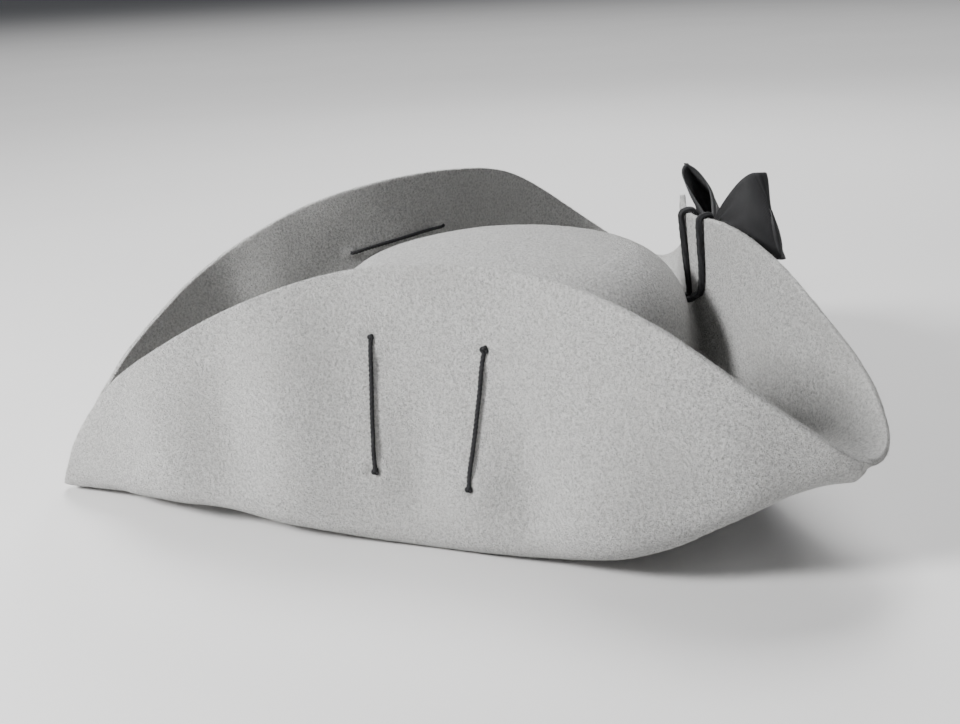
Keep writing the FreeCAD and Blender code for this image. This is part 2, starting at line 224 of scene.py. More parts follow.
def brim_mid(turn, part):
    """Mid felt of the brim, for arrays of turns (0 to 360) and parts of one shape."""
    turn, part = np.broadcast_arrays(np.asarray(turn, float), np.asarray(part, float))
    half = np.where(turn > 180, 360 - turn, turn)
    top, foot = oval(half, SPLIT_Z), oval(half, FELT / 2 - REST_DIP)
    fold, edge = fold_point(half), edge_ring(half)
    down, shelf, flap = foot - top, fold - foot, edge - fold
    l0, l1, l2 = (np.linalg.norm(v, axis=-1) for v in (down, shelf, flap))
    d0, d1, d2 = unit(down), unit(shelf), unit(flap)
    d2 = np.where((l2 > 0.01)[..., None], d2, d1)
    s = part * (l0 + l1 + l2)
    rounding = np.minimum(fold_round_ring(half)[..., 0], np.minimum(0.85 * l2, 0.8 * l1))
    rounding = np.maximum(0.01, rounding)
    first = ramp(s - l0, BREAK_ROUND)[..., None]
    second = ramp(s - l0 - l1, rounding)[..., None]
    point = top + d0 * s[..., None] + (d1 - d0) * first + (d2 - d1) * second
    point[..., 0] *= np.where(turn > 180, -1, 1)
    return point


def dome_profile(steps):
    """Mid felt of the crown from its top to the split: radius and height."""
    inset = FELT / 2
    shoulder_r, top_r = CROWN_SHOULDER_R - inset, CROWN_TOP_R - inset
    foot = np.array([HEAD_Y - inset - CROWN_WALL_TILT * SPLIT_Z, SPLIT_Z])
    lean = math.atan(CROWN_WALL_TILT)
    wall = np.array([-math.sin(lean), math.cos(lean)])
    inward = np.array([-math.cos(lean), -math.sin(lean)])
    top_centre = np.array([0.0, CROWN_HEIGHT - CROWN_TOP_R])
    start = foot + inward * shoulder_r - top_centre
    b, c = start @ wall, start @ start - (top_r - shoulder_r) ** 2
    rise = -b + math.sqrt(b * b - c)
    centre = foot + wall * rise + inward * shoulder_r
    joint_angle = math.atan2(*(centre - top_centre))
    top_arc, shoulder_arc = top_r * joint_angle, shoulder_r * (math.pi / 2 - lean - joint_angle)
    s = np.linspace(0, 1, steps) * (top_arc + shoulder_arc + rise)
    on_top = s[:, None] <= top_arc
    on_shoulder = s[:, None] <= top_arc + shoulder_arc
    a = (s / top_r)[:, None]
    top = top_centre + top_r * np.hstack([np.sin(a), np.cos(a)])
    a = joint_angle + ((s - top_arc) / shoulder_r)[:, None]
    shoulder = centre + shoulder_r * np.hstack([np.sin(a), np.cos(a)])
    left = (top_arc + shoulder_arc + rise - s)[:, None]
    return np.where(on_top, top, np.where(on_shoulder, shoulder, foot + wall * left))


def crown_mid(turns, steps):
    """Mid felt of the crown, from its top down, at each turn."""
    profile = dome_profile(steps)
    a = np.radians(turns)[:, None]
    squeeze = (HEAD_X - FELT / 2) / (HEAD_Y - FELT / 2)
    r, z = profile[:, 0], profile[:, 1]
    return np.stack(np.broadcast_arrays(squeeze * r * np.sin(a), -r * np.cos(a), z), -1)


# ---- small helpers ----
def grid_normals(points, wrap):
    """Unit normals of a grid of points; wrap closes the first direction."""
    if wrap:
        across = np.roll(points, -1, 0) - np.roll(points, 1, 0)
    else:
        across = np.gradient(points, axis=0)
    along = np.gradient(points, axis=1)
    return unit(np.cross(along, across))


def make_mesh(name, verts_mm, faces, material, uv=None, smooth=True):
    """Object from vertices in millimetres; uv, also in millimetres, carries a ribbon's weave."""
    mesh = bpy.data.meshes.new(name)
    mesh.from_pydata((np.asarray(verts_mm) * MM).tolist(), [], faces)
    mesh.materials.append(material)
    mesh.polygons.foreach_set("use_smooth", [smooth] * len(mesh.polygons))
    if uv is not None:
        layer = mesh.uv_layers.new(name="cloth")
        index = np.zeros(len(mesh.loops), int)
        mesh.loops.foreach_get("vertex_index", index)
        layer.data.foreach_set("uv", (np.asarray(uv)[index] * MM).astype(np.float32).ravel())
    mesh.validate()
    mesh.update()
    obj = bpy.data.objects.new(name, mesh)
    bpy.context.scene.collection.objects.link(obj)
    return obj


def quads(rows, columns, start=0, wrap_rows=False, wrap_columns=False, flip=False):
    """Faces of a grid whose vertex (i, j) is start + i * columns + j."""
    faces = []
    for i in range(rows if wrap_rows else rows - 1):
        for j in range(columns if wrap_columns else columns - 1):
            a = start + i * columns + j
            b = start + i * columns + (j + 1) % columns
            c = start + (i + 1) % rows * columns + (j + 1) % columns
            d = start + (i + 1) % rows * columns + j
            faces.append((a, b, c, d) if flip else (a, d, c, b))
    return faces


def noise_at(points, size, seed):
    """Smooth noise, about -1 to 1, with features of a size in millimetres."""
    offset = Vector((seed * 17.3, seed * 5.1, seed * 9.7))
    flat = points.reshape(-1, 3) / size
    values = [noise.noise(Vector(p) + offset) for p in flat.tolist()]
    return np.array(values).reshape(points.shape[:-1])


def bump(distance, size):
    """Smooth rise: 1 at no distance, fading out over a size."""
    return np.exp(-distance ** 2 / (2 * size ** 2))


def fade(value, start, length):
    """0 up to a start, rising evenly to 1 over a length."""
    return np.clip((value - start) / length, 0, 1)


def lengths_along(line):
    """Distance run along a line, at each of its points."""
    return np.append(0, np.cumsum(np.linalg.norm(np.diff(line, axis=0), axis=1)))


def mirrored(hand):
    """Factor that turns a point of the left side into one of a hand's side, 1 left and -1 right."""
    return np.array([hand, 1, 1])


# ---- materials ----
class Nodes:
    """Shorthand for building one node material."""

    def __init__(self, name):
        self.material = bpy.data.materials.new(name)
        self.material.use_nodes = True
        self.tree = self.material.node_tree
        self.shader = self.tree.nodes["Principled BSDF"]

    def add(self, kind, inputs=None, **settings):
        node = self.tree.nodes.new(kind)
        for key, value in settings.items():
            setattr(node, key, value)
        for key, value in (inputs or {}).items():
            if isinstance(value, bpy.types.NodeSocket):
                self.tree.links.new(value, node.inputs[key])
            else:
                node.inputs[key].default_value = value
        return node

    def link(self, source, socket):
        self.tree.links.new(source, self.shader.inputs[socket])

    def set(self, **values):
        for key, value in values.items():
            self.shader.inputs[key.replace("_", " ")].default_value = value

    def noise(self, vector, scale, detail=3.0, roughness=0.55):
        inputs = {"Vector": vector, "Scale": scale, "Detail": detail, "Roughness": roughness}
        return self.add("ShaderNodeTexNoise", inputs).outputs["Fac"]

    def spread(self, value, low, high, to_low=0.0, to_high=1.0):
        inputs = {
            "Value": value, "From Min": low, "From Max": high, "To Min": to_low, "To Max": to_high,
        }
        return self.add("ShaderNodeMapRange", inputs).outputs["Result"]

    def mix(self, factor, a, b):
        node = self.add("ShaderNodeMix", data_type="RGBA")
        for index, value in ((0, factor), (6, a), (7, b)):
            if isinstance(value, bpy.types.NodeSocket):
                self.tree.links.new(value, node.inputs[index])
            else:
                node.inputs[index].default_value = value
        return node.outputs[2]

    def bump(self, height, strength, distance, normal=None):
        inputs = {"Height": height, "Strength": strength, "Distance": distance}
        if normal is not None:
            inputs["Normal"] = normal
        return self.add("ShaderNodeBump", inputs).outputs["Normal"]


def felt_material():
    """Pale wool felt: clotted fibres, a fine grain and faint uneven shade."""
    n = Nodes("wool_felt")
    place = n.add("ShaderNodeTexCoord").outputs["Object"]
    clots = n.noise(place, scale=760.0, detail=4.0, roughness=0.7)
    grain = n.noise(place, scale=2100.0, detail=3.0, roughness=0.6)
    clouds = n.noise(place, scale=26.0, detail=3.0, roughness=0.5)
    fibres = n.add("ShaderNodeTexVoronoi", {"Vector": place, "Scale": 900.0}).outputs["Distance"]
    pale, deep = (0.84, 0.835, 0.815, 1), (0.35, 0.345, 0.335, 1)
    bright, dull = (0.92, 0.915, 0.90, 1), (0.66, 0.65, 0.62, 1)
    colour = n.mix(n.spread(clots, 0.38, 0.60), deep, pale)
    colour = n.mix(n.spread(grain, 0.42, 0.62, to_high=0.6), colour, bright)
    colour = n.mix(n.spread(clouds, 0.35, 0.65, to_high=0.28), colour, dull)
    n.link(colour, "Base Color")
    n.link(n.spread(grain, 0.3, 0.7, 0.86, 1.0), "Roughness")
    n.set(Sheen_Weight=0.35, Sheen_Roughness=0.6, Specular_IOR_Level=0.15)
    relief = n.bump(clots, strength=1.0, distance=0.0044)
    relief = n.bump(fibres, 0.35, 0.0004, relief)
    n.link(n.bump(grain, 0.8, 0.0007, relief), "Normal")
    return n.material


def thread_material(name, colour, gloss):
    """Spun black yarn: fibres in the strands and a little dust."""
    n = Nodes(name)
    place = n.add("ShaderNodeTexCoord").outputs["Object"]
    fibre = n.noise(place, 2600.0, 3.0, 0.6)
    dust = n.noise(place, 160.0, 3.0, 0.6)
    light = tuple(min(1.0, 2.8 * c + 0.012) for c in colour) + (1,)
    shade = n.mix(n.spread(fibre, 0.35, 0.7), tuple(colour) + (1,), light)
    shade = n.mix(n.spread(dust, 0.55, 0.8, to_high=0.12), shade, (0.16, 0.155, 0.15, 1))
    n.link(shade, "Base Color")
    n.link(n.spread(fibre, 0.3, 0.7, gloss, gloss + 0.2), "Roughness")
    n.set(Sheen_Weight=0.08, Sheen_Roughness=0.4, Specular_IOR_Level=0.3)
    n.link(n.bump(fibre, 0.6, 0.0002), "Normal")
    return n.material


def ribbon_material(name, colour, rib, gloss):
    """Woven black ribbon: fine ribs, rib millimetres apart, across its length and a soft shine."""
    n = Nodes(name)
    cloth = n.add("ShaderNodeTexCoord").outputs["UV"]
    place = n.add("ShaderNodeTexCoord").outputs["Object"]
    # A wave texture makes a band each 2 pi / (20 * scale).
    scale = 2 * math.pi / (20 * rib * MM)
    along = {"Vector": cloth, "Scale": scale, "Distortion": 0.4}
    across = dict(along, Scale=scale * 1.7)
    ribs = n.add("ShaderNodeTexWave", along, bands_direction="X").outputs["Fac"]
    warp = n.add("ShaderNodeTexWave", across, bands_direction="Y").outputs["Fac"]
    patches = n.noise(place, 90.0, 4.0, 0.6)
    light = tuple(min(1.0, 3.0 * c + 0.015) for c in colour) + (1,)
    shade = n.mix(n.spread(ribs, 0.1, 0.9, to_high=0.7), tuple(colour) + (1,), light)
    shade = n.mix(n.spread(patches, 0.4, 0.75, to_high=0.3), shade, (0.05, 0.05, 0.052, 1))
    n.link(shade, "Base Color")
    n.link(n.spread(patches, 0.3, 0.7, gloss, gloss + 0.18), "Roughness")
    n.set(Sheen_Weight=0.08, Sheen_Roughness=0.35, Specular_IOR_Level=0.4)
    relief = n.bump(ribs, 0.7, 0.00025)
    n.link(n.bump(warp, 0.35, 0.00012, relief), "Normal")
    return n.material


def floor_material():
    """Plain pale surface, very slightly uneven."""
    n = Nodes("pale_floor")
    place = n.add("ShaderNodeTexCoord").outputs["Object"]
    soft = n.noise(place, 3.0, 2.0, 0.5)
    n.link(n.mix(soft, (0.74, 0.735, 0.73, 1), (0.79, 0.785, 0.78, 1)), "Base Color")
    n.set(Roughness=0.8, Specular_IOR_Level=0.2)
    return n.material


FELT_LOOK = felt_material()
CORD_LOOK = thread_material("black_yarn", (0.006, 0.006, 0.007), 0.62)
RIBBON_LOOK = ribbon_material("black_ribbon", (0.007, 0.007, 0.008), 0.55, 0.42)
BAND_LOOK = ribbon_material("black_grosgrain", (0.018, 0.018, 0.02), 1.1, 0.55)
SEAM_LOOK = thread_material("seam_thread", (0.03, 0.03, 0.032), 0.5)


# ---- felt body ----
# Soft dents and swellings of the flaps, left then right: y, z, size along y and along z, height.
LEFT_SHAPE = [
    (-176, 44, 12, 26, 5.0), (-142, 50, 11, 34, -6.0), (-112, 70, 14, 32, 6.0),
    (-56, 36, 8, 24, -3.6), (-12, 34, 8, 24, -7.5), (18, 44, 15, 24, 6.5),
    (86, 78, 16, 22, -2.8), (-204, 30, 8, 14, -3.0), (5, 112, 30, 12, 1.4),
]
RIGHT_SHAPE = [
    (-160, 56, 14, 30, 3.0), (-124, 66, 14, 30, -4.0), (-60, 96, 20, 22, 2.4),
    (-6, 62, 14, 28, -3.4), (40, 68, 22, 26, 3.4), (86, 66, 16, 22, -1.6),
]
# The same on the back flap, with x in place of y.
BACK_SHAPE = [(-58, 60, 20, 30, 1.6), (62, 66, 22, 28, -1.4), (18, 40, 14, 24, 1.0)]


def shaped(u, z, shapes):
    """Height of a list of dents and swellings at places on a flap."""
    total = np.zeros(np.shape(z))
    for mid_u, mid_z, size_u, size_z, height in shapes:
        total += height * bump((u - mid_u) / size_u, 1) * bump((z - mid_z) / size_z, 1)
    return total


def puckers(points):
    """Felt drawn in at the lace holes, with a low swelling beside each."""
    total = np.zeros(points.shape[:-1])
    for hand, holes in LACE_HOLES.items():
        for y, z in holes:
            far = np.hypot(points[..., 1] - y, points[..., 2] - z)
            drawn = -PUCKER_DEPTH * bump(far, PUCKER_R)
            drawn = drawn + SWELL_HEIGHT * bump(far - SWELL_AT, SWELL_R)
            total += np.where(points[..., 0] * hand > 0, drawn, 0)
    return total


def unevenness(points, part):
    """How far the felt stands off its plain shape, outward from the hat, in millimetres."""
    x, y, z = points[..., 0], points[..., 1], points[..., 2]
    on_flap = fade(part, 0.12, 0.3) * fade(z, 4, 22)
    side = fade(np.abs(x), 35, 20) * fade(118 - y, 0, 15)
    back = fade(y, 92, 10)
    left, right = shaped(y, z, LEFT_SHAPE), shaped(y, z, RIGHT_SHAPE)
    total = side * np.where(x > 0, left, right) + back * shaped(x, z, BACK_SHAPE)
    total = total * on_flap
    total += puckers(points) * fade(np.abs(x), 75, 10) * on_flap
    rolling = noise_at(points, size=46.0, seed=1) * 1.6 + noise_at(points, size=19.0, seed=2) * 0.6
    return total + rolling * (0.25 + 0.75 * on_flap)


def grain_height(points):
    """Fine relief of the felt's faces, in millimetres."""
    return noise_at(points, size=5.0, seed=3) * 0.10 + noise_at(points, size=2.3, seed=4) * 0.07


def felt_turns():
    """Turns of the mesh, closer together at the three points."""
    fine, coarse, tip_span, least_gap = 0.55, 1.3, 9, 0.3
    turns, turn = [], 0.0
    while turn < 360 - least_gap:
        turns.append(turn)
        near = min(abs(turn - tip) for tip in (0, CORNER_TURN, 360 - CORNER_TURN, 360))
        turn += fine if near < tip_span else coarse
    return np.array(turns)


def felt_faces(plain, part_of):
    """Outer and inner face of the felt, either side of its uneven middle."""
    normals = grid_normals(plain, True)
    off = -unevenness(plain, np.broadcast_to(part_of, plain.shape[:2]))
    faces = []
    for side in (1, -1):
        face = plain + normals * (off + side * FELT / 2)[..., None]
        face += normals * (side * grain_height(face))[..., None]
        faces.append(face)
    return faces


def raw_rim(outer_edge, inner_edge, edge_out, rows):
    """Rows of points round the cut edge, from the outer face to the inner one."""
    mid = (outer_edge + inner_edge) / 2
    half = (outer_edge - inner_edge) / 2
    rim = []
    for k in range(1, rows + 1):
        a = math.pi * k / (rows + 1)
        point = mid + half * math.copysign(abs(math.cos(a)) ** 0.6, math.cos(a))
        point = point + edge_out * math.sin(a) ** 0.5
        point += edge_out * (noise_at(point, 1.6, 5 + k) * 0.22)[:, None]
        rim.append(point)
    return rim


def felt_body():
    """Crown and brim as one moulded sheet, closed at the crown's top and round the raw edge."""
    turns = felt_turns()
    crown_rows, brim_rows, rim_rows = 44, 84, 5
    parts = np.linspace(0, 1, brim_rows)
    brim_plain = brim_mid(*np.meshgrid(turns, parts, indexing="ij"))
    crown_plain = crown_mid(turns, crown_rows)[:, 1:-1]
    plain = np.concatenate([crown_plain, brim_plain], 1)
    part_of = np.concatenate([np.zeros(crown_plain.shape[1]), parts])
    outer, inner = felt_faces(plain, part_of)
    edge_out = unit(plain[:, -1] - plain[:, -2])
    rim = raw_rim(outer[:, -1], inner[:, -1], edge_out, rim_rows)
    grid = np.concatenate([outer] + [row[:, None] for row in rim] + [inner[:, ::-1]], 1)
    count = grid.shape[1]
    verts = grid.reshape(-1, 3)
    faces = quads(len(turns), count, wrap_rows=True, flip=True)
    top_z = dome_profile(crown_rows)[0, 1]
    for side, column in ((1, 0), (-1, count - 1)):
        top = len(verts)
        verts = np.vstack([verts, [[0, 0, top_z + side * FELT / 2]]])
        for i in range(len(turns)):
            a, b = i * count + column, (i + 1) % len(turns) * count + column
            faces.append((top, a, b) if side > 0 else (top, b, a))
    verts[:, 2] = np.maximum(verts[:, 2], 0.0)
    body = make_mesh("felt_body", verts, faces, FELT_LOOK)
    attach(body, "hat")
    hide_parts("felt_brim", "felt_crown")
    first_rim = plain.shape[1]
    return turns, grid[:, first_rim:first_rim + rim_rows], edge_out


def felt_fuzz(turns, rim, edge_out):
    """Loose wool fibres that stand out of the raw edge."""
    rng = random.Random(7)
    verts, faces = [], []
    for _ in range(EDGE_FIBRES):
        i = rng.randrange(len(turns))
        j = rng.randrange(rim.shape[1])
        follow = rng.random()
        root = rim[i, j] * (1 - follow) + rim[(i + 1) % len(turns), j] * follow
        way = edge_out[i] + np.array([rng.uniform(-0.9, 0.9) for _ in range(3)])
        curl = np.array([rng.uniform(-0.6, 0.6) for _ in range(3)])
        way = unit(way)
        side = unit(np.cross(way, curl + 0.01)) * FIBRE_HALF_WIDTH
        reach = rng.uniform(0.4, 1.5)
        start = len(verts)
        for k in (0.0, 0.5, 1.0):
            spine = root + way * (reach * k) + curl * (reach * 0.5 * k * k)
            half = side * (1 - 0.7 * k)
            verts += [spine - half, spine + half]
        for k in (0, 2):
            faces.append((start + k, start + k + 1, start + k + 3, start + k + 2))
    verts = np.array(verts)
    verts[:, 2] = np.maximum(verts[:, 2], LEAST_FIBRE_Z)
    fuzz = make_mesh("felt_edge_fibres", verts, faces, FELT_LOOK)
    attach(fuzz, "hat")


# ---- cords ----
def smooth_line(points, spacing):
    """Points a spacing apart on a smooth curve near the given ones (a NURBS spline's line)."""
    curve = bpy.data.curves.new("route", "CURVE")
    curve.dimensions = "3D"
    spline = curve.splines.new("NURBS")
    spline.points.add(len(points) - 1)
    for target, point in zip(spline.points, points):
        target.co = (*point, 1)
    spline.order_u = 3
    spline.use_endpoint_u = True
    spline.resolution_u = 24
    holder = bpy.data.objects.new("route", curve)
    mesh = bpy.data.meshes.new_from_object(holder)
    line = np.array([v.co[:] for v in mesh.vertices])
    bpy.data.objects.remove(holder)
    bpy.data.curves.remove(curve)
    bpy.data.meshes.remove(mesh)
    along = lengths_along(line)
    steps = np.linspace(0, along[-1], max(8, int(along[-1] / spacing)))
    return np.stack([np.interp(steps, along, line[:, k]) for k in range(3)], 1)


def frames_along(line):
    """Two unit directions square to the line at each of its points, without twist."""
    tangent = unit(np.gradient(line, axis=0))
    first = np.zeros_like(line)
    guess = np.array([0.0, 0.0, 1.0]) if abs(tangent[0, 2]) < 0.9 else np.array([1.0, 0.0, 0.0])
    for i, t in enumerate(tangent):
        guess = guess - t * (guess @ t)
        guess = guess / np.linalg.norm(guess)
        first[i] = guess
    return first, np.cross(tangent, first)


def tube_part(line, radius, sides=8):
    """Vertices and faces of a closed tube; radius is a number or one per point and side."""
    a, b = frames_along(line)
    angle = np.arange(sides) * 2 * np.pi / sides
    ringed = a[:, None] * np.cos(angle)[:, None] + b[:, None] * np.sin(angle)[:, None]
    size = np.broadcast_to(np.asarray(radius, float), (len(line), sides))
    verts = (line[:, None] + ringed * size[..., None]).reshape(-1, 3)
    faces = quads(len(line), sides, wrap_columns=True, flip=True)
    faces += [tuple(range(sides))[::-1], tuple((len(line) - 1) * sides + k for k in range(sides))]
    return verts, faces


def joined(parts):
    """Vertices and faces of several parts as one mesh."""
    verts, faces, start = [], [], 0
    for v, f in parts:
        verts.append(v)
        faces += [tuple(i + start for i in face) for face in f]
        start += len(v)
    return np.vstack(verts), faces


def twisted(line, radius, strands=3, pitch=6.5):
    """Strands laid round each other along a line, filling a cord of the given radius."""
    a, b = frames_along(line)
    along = lengths_along(line)
    strand = radius * 0.52      # radius of one strand
    out = []
    for k in range(strands):
        angle = along * 2 * np.pi / pitch + 2 * np.pi * k / strands
        offset = (a * np.cos(angle)[:, None] + b * np.sin(angle)[:, None]) * (radius - strand)
        out.append(tube_part(line + offset, strand, 7))
    return joined(out)


def overhand(centre, size, radius, lie=(0, 0, 1)):
    """Small pulled-tight knot: a trefoil of cord, lying flat against a direction."""
    turn = np.linspace(0, 2 * np.pi, 60, endpoint=False)
    flat = np.stack([
        np.sin(turn) + 2 * np.sin(2 * turn),
        np.cos(turn) - 2 * np.cos(2 * turn),
        -1.2 * np.sin(3 * turn),
    ], 1) * size / 3
    spin = Vector((0, 0, 1)).rotation_difference(Vector(lie)).to_matrix()
    line = flat @ np.array(spin).T + centre
    line = np.vstack([line, line[:1]])
    return tube_part(line, radius, 8)


def flap_spot(y, z):
    """Turn and part of the left flap's mid felt at a given y and z, by Newton's method."""
    turn, part = 60.0, 0.6
    for _ in range(30):
        here = brim_mid(turn, part)
        by_turn = (brim_mid(turn + 0.01, part) - here) * 100
        by_part = (brim_mid(turn, part + 0.0001) - here) * 10000
        det = by_turn[1] * by_part[2] - by_turn[2] * by_part[1]
        dy, dz = y - here[1], z - here[2]
        turn += (dy * by_part[2] - dz * by_part[1]) / det
        part += (by_turn[1] * dz - by_turn[2] * dy) / det
    return float(turn), float(part)


def off_flap(y, z, lift, hand=1):
    """Point a lift outside the flap's outer face (negative: inside its inner face), hand 1 left."""
    turn, part = flap_spot(y, z)
    around = brim_mid(
        np.array([[turn - 0.3] * 3, [turn] * 3, [turn + 0.3] * 3]),
        np.array([[part - 0.004, part, part + 0.004]] * 3),
    )
    normal = grid_normals(around, False)[1, 1]
    here = around[1, 1] * mirrored(hand)
    normal = normal * mirrored(hand)
    sag = unevenness(here[None], np.array([part]))[0]
    face = FELT / 2 + abs(lift)
    return here - normal * (sag + math.copysign(face, lift))


def crown_anchor(outside):
    """Place of the stopper knot inside the crown, behind a hole in the flap."""
    turn = math.degrees(math.atan2(outside[0] / HEAD_X, -outside[1] / HEAD_Y))
    return oval(turn, outside[2], FELT / 2 + KNOT_R)


def lace_route(hand):
    """One lace: knot in the crown, out, up the flap, across inside it, down and back in."""
    (y0, z0), (y1, z1), (y2, z2), (y3, z3) = LACE_HOLES[hand]
    rise = LACE_D / 2

    def run(ya, za, yb, zb, lift, count):
        return [
            off_flap(ya + (yb - ya) * k, za + (zb - za) * k, lift, hand)
            for k in np.linspace(0, 1, count)
        ]

    front = run(y0, z0, y1, z1, rise, 9)
    across = run(y1, z1, y2, z2, -rise, 6)
    rear = run(y2, z2, y3, z3, rise, 9)
    mirror = mirrored(hand)
    starts = [crown_anchor(p * mirror) * mirror for p in (front[0], rear[-1])]
    # A point given twice pulls the smooth line close to the hole.
    front_run = [front[0], *front, front[-1]]
    rear_run = [rear[0], *rear, rear[-1]]
    route = [starts[0], *front_run, *across, *rear_run, starts[1]]
    return route, front, rear


def lace_end(knot):
    """Cord left over below a stopper knot."""
    tail = [
        knot + np.array([0.5 * math.sin(k * 2.0), 0.5 * math.cos(k * 1.3), -TAIL_LEN * k])
        for k in np.linspace(0, 1, 5)
    ]
    return twisted(smooth_line(tail, 0.9), LACE_D / 2 * 0.9)


def side_lace(node, hand):
    """One lace with its stopper knots, its loose ends and a small lump of cord at each hole."""
    route, front, rear = lace_route(hand)
    parts = [twisted(smooth_line(route, 0.9), LACE_D / 2)]
    for knot in (route[0], route[-1]):
        parts.append(overhand(knot, size=2.2, radius=0.9))
        parts.append(lace_end(knot))
    for spot, size in ((front[0], 1.3), (front[-1], 0.9), (rear[0], 1.4), (rear[-1], 1.2)):
        parts.append(overhand(spot, size, radius=0.7, lie=(hand, 0, 0)))
    lace = make_mesh(node + "_cord", *joined(parts), CORD_LOOK)
    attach(lace, "hat")
    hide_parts(node)


# ---- back tie and bow ----
def pleated(line, radius, seed):
    """Gathered ribbon pulled into a strand: a tube with pleats that wander along it."""
    sides, pleats, twist = 30, 5, 0.035
    angle = np.arange(sides) * 2 * np.pi / sides
    along = lengths_along(line)[:, None]
    wander = np.array([noise.noise(Vector((s * 0.12, seed, 0))) for s in along[:, 0]])[:, None]
    fold = np.cos(pleats * angle + along * twist * 2 * np.pi + 2.4 * wander)
    cinch = 1 + 0.04 * np.cos(along * 2 * np.pi / 4.2 + 2 * wander)
    return tube_part(line, radius * (0.97 + 0.09 * fold) * cinch, sides)


def tie_route(hand):
    """One strand: from inside the crown, up the back flap, over its edge and down to the knot."""
    turn = TIE_TURNS[hand]
    edge, below = brim_mid(turn, 1.0), brim_mid(turn, 0.7)
    beside = brim_mid(turn + 0.5, 1.0) - brim_mid(turn - 0.5, 1.0)
    up = unit(edge - below)
    out = unit(np.cross(beside, up))
    lift = FELT / 2 + TIE_D / 2
    aside = np.array([TIE_HALF_GAP, 0, 0])
    inside = oval(180.0, TIE_Z, lift + 1.0) + aside
    at_knot = BOW + [0, -1.5, BOW_KNOT[2] / 2 - 1.5] + aside
    route = [
        inside, inside + [0, 4.9, 0], inside + [0, 9.8, 0], inside + [0, 10.0, 2.0],
        below - out * (lift + 0.4) + up * 4, edge - out * (lift + 0.4) - up * 3,
        edge - out * lift * 0.95 + up * 2.3, edge + out * lift * 0.95 + up * 2.3,
        edge + out * (lift + 0.8) - up * 0.5, at_knot,
    ]
    return [point * mirrored(hand) for point in route]


def back_tie():
    """The two strands over the back flap's edge, and the short run that joins them in the crown."""
    parts = [pleated(smooth_line(tie_route(hand), 0.5), TIE_D / 2, 3 + hand) for hand in (1, -1)]
    start = tie_route(1)[0]
    bar = [start * mirrored(k) for k in (1, 0.3, -0.3, -1)]
    parts.append(pleated(smooth_line(bar, 0.5), TIE_D / 2, 9))
    tie = make_mesh("back_tie_ribbon", *joined(parts), CORD_LOOK)
    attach(tie, "hat")
    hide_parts("back_tie")


def bow_knot():
    """The ribbon wrapped round the middle of the bow: a squared lump with folds round it."""
    rows, columns = 40, 64
    half = BOW_KNOT / 2
    a = np.linspace(0, 2 * np.pi, columns, endpoint=False)[None]
    b = np.linspace(-np.pi / 2, np.pi / 2, rows)[:, None]

    def square(value, power):
        return np.sign(value) * np.abs(value) ** power

    x = square(np.sin(b), 0.75) + 0 * a
    y = square(np.cos(b), 0.6) * square(np.cos(a), 0.8)
    z = square(np.cos(b), 0.6) * square(np.sin(a), 0.8)
    folds = 1 + 0.055 * np.cos(b * 9 + 1.2 * np.sin(a)) + 0.03 * np.cos(b * 21 + 2 * np.cos(2 * a))
    points = np.stack([x * half[0], y * half[1] * folds, z * half[2] * folds], -1)
    points = points + noise_at(points, 4.0, 21)[..., None] * 0.35 * unit(points)
    verts = points.reshape(-1, 3) + BOW
    mean_r = 6
    uv = np.stack(np.broadcast_arrays(a * mean_r + 0 * b, b * half[0] + 0 * a), -1).reshape(-1, 2)
    faces = quads(rows, columns, wrap_columns=True)
    knot = make_mesh("bow_knot_ribbon", verts, faces, RIBBON_LOOK, uv)
    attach(knot, "hat")
    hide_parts("bow_knot")


def ribbon_sheet(name, middle, half_across):
    """Closed thin cloth: middle line points, and half-width points across for each of them.

    Gives the piece, its run in millimetres and the area of its middle surface.
    """
    surface = middle[:, None] + half_across
    rows, columns = surface.shape[:2]
    lift = grid_normals(surface, False) * RIBBON_T / 2
    both = np.concatenate([surface + lift, (surface - lift)[:, ::-1]], 1)
    verts = both.reshape(-1, 3)
    faces = quads(rows, 2 * columns, wrap_columns=True)
    ring = 2 * columns
    last = (rows - 1) * ring
    for k in range(columns - 1):
        faces.append((k, k + 1, ring - 2 - k, ring - 1 - k))
    for k in range(columns - 1):
        faces.append((last + ring - 1 - k, last + ring - 2 - k, last + k + 1, last + k))
    along = lengths_along(middle)
    across = lengths_along(surface[rows // 2])
    both_across = np.concatenate([across, across[::-1]])
    uv = np.stack(np.broadcast_arrays(along[:, None], both_across[None]), -1).reshape(-1, 2)
    piece = make_mesh(name, verts, faces, RIBBON_LOOK, uv)
    corner = surface[:-1, :-1]
    patches = np.linalg.norm(np.cross(surface[1:, :-1] - corner, surface[:-1, 1:] - corner), axis=-1)
    return piece, along[-1], float(patches.sum())


def declare_ribbon(piece, body, node):
    """Hang a bow piece on the body it moves with, and hide the CAD part it replaces."""
    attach(piece, body)
    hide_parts(node)


